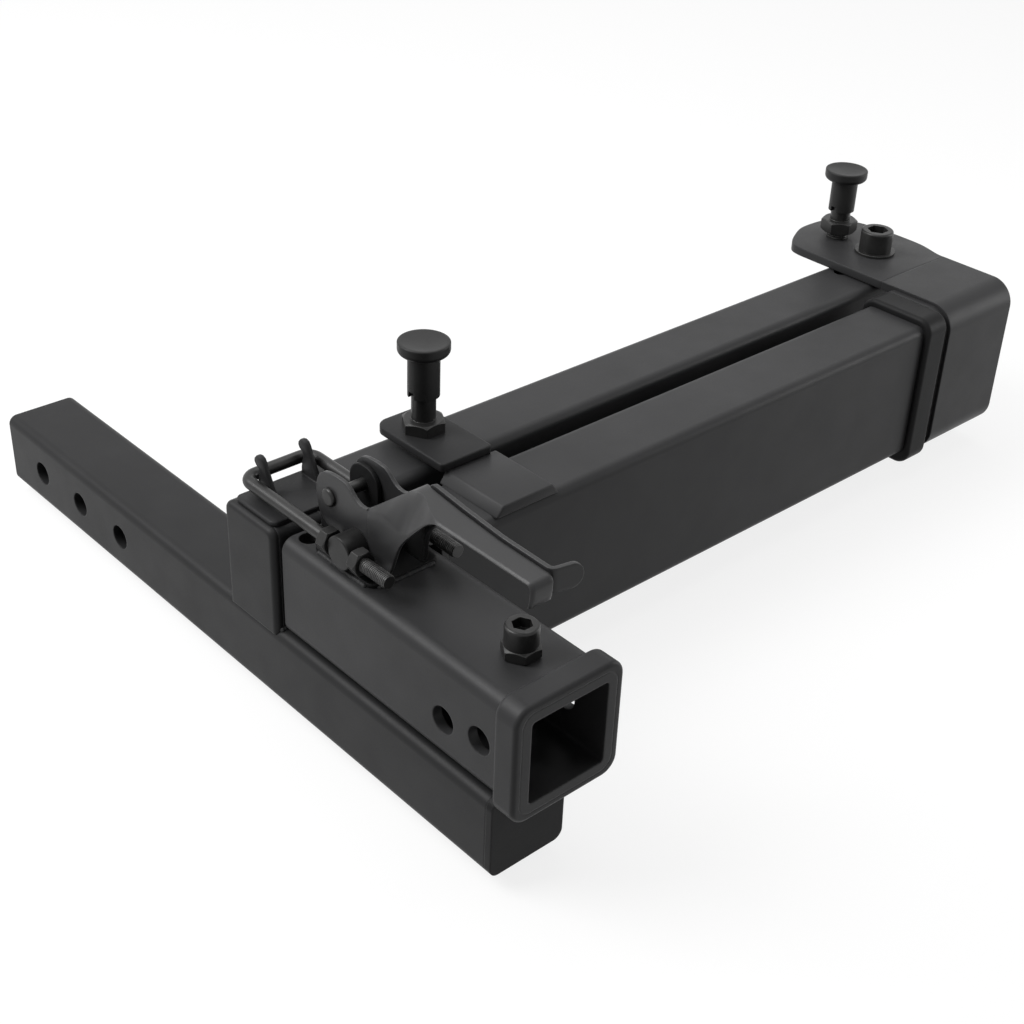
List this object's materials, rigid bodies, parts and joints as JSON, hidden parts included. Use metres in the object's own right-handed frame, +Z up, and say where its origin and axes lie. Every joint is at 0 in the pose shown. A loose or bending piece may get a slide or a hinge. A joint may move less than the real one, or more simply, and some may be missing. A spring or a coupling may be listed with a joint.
{
  "type": "swing-away hitch adapter",
  "caption": "Hitch extension with a square shank and a receiver on a long arm that swings aside on a pivot bolt, held shut by a toggle latch and spring plungers.",
  "frame": {"origin": "centre of the shank's pin hole nearest the vehicle, on the shank's middle", "axes": "+X along the arms towards the pivot, +Y along the shank towards the vehicle, +Z up"},
  "size_m": [0.6138, 0.5245, 0.195],
  "materials": {
    "powder_coat": "satin black powder coat",
    "latch_coat": "satin black coat",
    "black_steel": "black oxide, semi-gloss",
    "knob": "satin black",
    "bare_steel": "ground",
    "bush_bronze": "sintered bronze"
  },
  "bodies": {
    "root": {"shank_tube": "powder_coat", "shank_end_plate": "powder_coat", "rear_arm": "powder_coat", "rear_arm_stub_plate": "powder_coat", "rear_arm_end_cap": "powder_coat", "pivot_sleeve": "bare_steel", "pivot_bushes": "bush_bronze", "keeper_plate": "latch_coat"},
    "swing_arm": {"front_arm": "powder_coat", "front_arm_cap": "powder_coat", "hinge_band": "powder_coat", "front_arm_end_plate": "powder_coat", "hinge_bracket": "powder_coat", "hinge_tab_upper": "powder_coat", "hinge_tab_lower": "powder_coat", "pivot_bolt": "black_steel", "pivot_washers": "black_steel", "pivot_nut": "black_steel", "stop_block": "powder_coat", "lock_tab": "powder_coat", "plunger_1_body": "black_steel", "plunger_2_body": "black_steel", "receiver_tube": "powder_coat", "receiver_collar": "powder_coat", "anti_rattle_nut": "black_steel", "latch_base": "latch_coat", "latch_rivet": "black_steel"},
    "plunger_1": {"plunger_1_pin": "bare_steel", "plunger_1_knob": "knob", "plunger_1_spring": "bare_steel"},
    "plunger_2": {"plunger_2_pin": "bare_steel", "plunger_2_knob": "knob", "plunger_2_spring": "bare_steel"},
    "anti_rattle": {"anti_rattle_bolt": "black_steel"},
    "latch_handle": {"latch_handle": "latch_coat", "lever_pin": "black_steel"},
    "latch_lever": {"release_lever": "latch_coat"},
    "latch_loop": {"trunnion_bar": "black_steel", "u_bolt": "black_steel", "u_bolt_nuts": "black_steel"}
  },
  "joints": [
    {"name": "swing", "type": "hinge", "parent": "root", "child": "swing_arm", "pos_m": [0.5466, -0.247, 0.0413], "axis": [0, 0, 1], "range_deg": [0, 90]},
    {"name": "plunger_1_slide", "type": "slide", "parent": "swing_arm", "child": "plunger_1", "axis": [0, 0, 1], "range_m": [-0.012, 0], "deforming": ["plunger_1_spring"]},
    {"name": "plunger_2_slide", "type": "slide", "parent": "swing_arm", "child": "plunger_2", "axis": [0, 0, 1], "range_m": [-0.007, 0], "deforming": ["plunger_2_spring"]},
    {"name": "anti_rattle_screw", "type": "slide", "parent": "swing_arm", "child": "anti_rattle", "axis": [0, 0, 1], "range_m": [0, 0.006]},
    {"name": "latch_open", "type": "hinge", "parent": "swing_arm", "child": "latch_handle", "pos_m": [0.00925, -0.305, 0.1206], "axis": [-1, 0, 0], "range_deg": [0, 105]},
    {"name": "latch_loop_turn", "type": "hinge", "parent": "latch_handle", "child": "latch_loop", "pos_m": [0.00925, -0.33, 0.1028], "axis": [-1, 0, 0], "range_deg": [-136.5, 0]},
    {"name": "lever_press", "type": "hinge", "parent": "latch_handle", "child": "latch_lever", "pos_m": [0.00925, -0.345, 0.1226], "axis": [1, 0, 0], "range_deg": [0, 5], "stiffness_Nm_per_rad": 0.5, "springref_deg": -11.46}
  ],
  "couplings": [
    {"joint": "latch_loop_turn", "follows": "latch_open", "ratio": -1.3}
  ]
}
